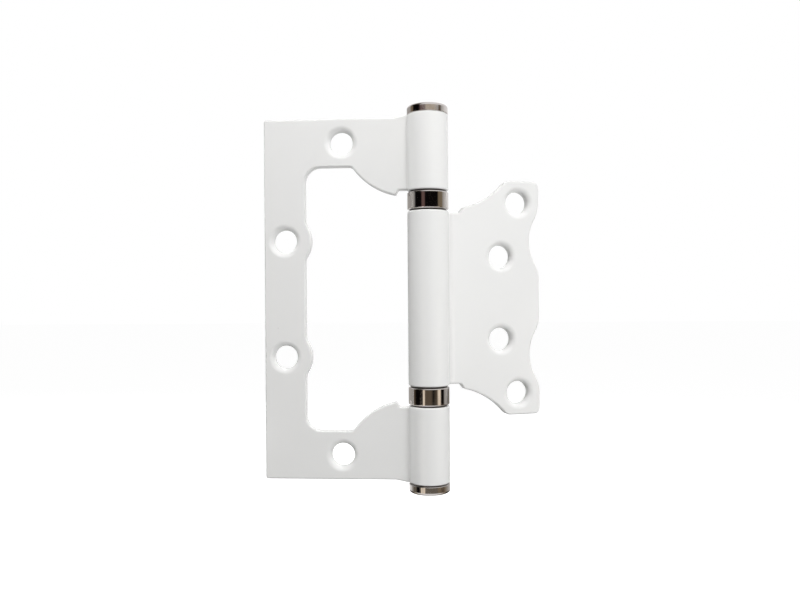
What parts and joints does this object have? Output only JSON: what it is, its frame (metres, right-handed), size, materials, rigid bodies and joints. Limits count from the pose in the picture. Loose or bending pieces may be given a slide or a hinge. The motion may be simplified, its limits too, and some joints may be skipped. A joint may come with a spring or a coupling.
{
  "type": "butterfly hinge",
  "caption": "Butterfly door hinge: a scalloped leaf folds into the window of a larger leaf, round a pinned ball-bearing barrel with button caps.",
  "frame": {"origin": "on the pin's axis, halfway along the barrel", "axes": "+Z along the pin; the larger leaf lies in the XZ plane towards -X, and its countersinks face -Y"},
  "size_m": [0.0771, 0.0178, 0.1065],
  "materials": {
    "leaf_paint": "satin powder coat",
    "plated_trim": "polished dark nickel plate",
    "pin_steel": "ground",
    "bearing_steel": "hardened, oiled"
  },
  "bodies": {
    "frame_side": {"outer_leaf": "leaf_paint", "hinge_pin": "pin_steel", "top_cap": "plated_trim", "bottom_cap": "plated_trim", "upper_fixed_race": "bearing_steel", "lower_fixed_race": "bearing_steel"},
    "door_side": {"inner_leaf": "leaf_paint", "upper_shell": "plated_trim", "lower_shell": "plated_trim", "upper_moving_race": "bearing_steel", "lower_moving_race": "bearing_steel"},
    "upper_ball_ring": {"upper_balls": "bearing_steel"},
    "lower_ball_ring": {"lower_balls": "bearing_steel"}
  },
  "joints": [
    {"name": "leaf_swing", "type": "hinge", "parent": "frame_side", "child": "door_side", "pos_m": [0, 0, 0], "axis": [0, 0, 1], "range_deg": [-199.4, 70.6]},
    {"name": "upper_balls_roll", "type": "hinge", "parent": "frame_side", "child": "upper_ball_ring", "pos_m": [0, 0, 0.0268], "axis": [0, 0, 1], "range_deg": [-99.7, 35.3]},
    {"name": "lower_balls_roll", "type": "hinge", "parent": "frame_side", "child": "lower_ball_ring", "pos_m": [0, 0, -0.0268], "axis": [0, 0, 1], "range_deg": [-99.7, 35.3]}
  ],
  "couplings": [
    {"joint": "upper_balls_roll", "follows": "leaf_swing", "ratio": 0.5},
    {"joint": "lower_balls_roll", "follows": "leaf_swing", "ratio": 0.5}
  ]
}
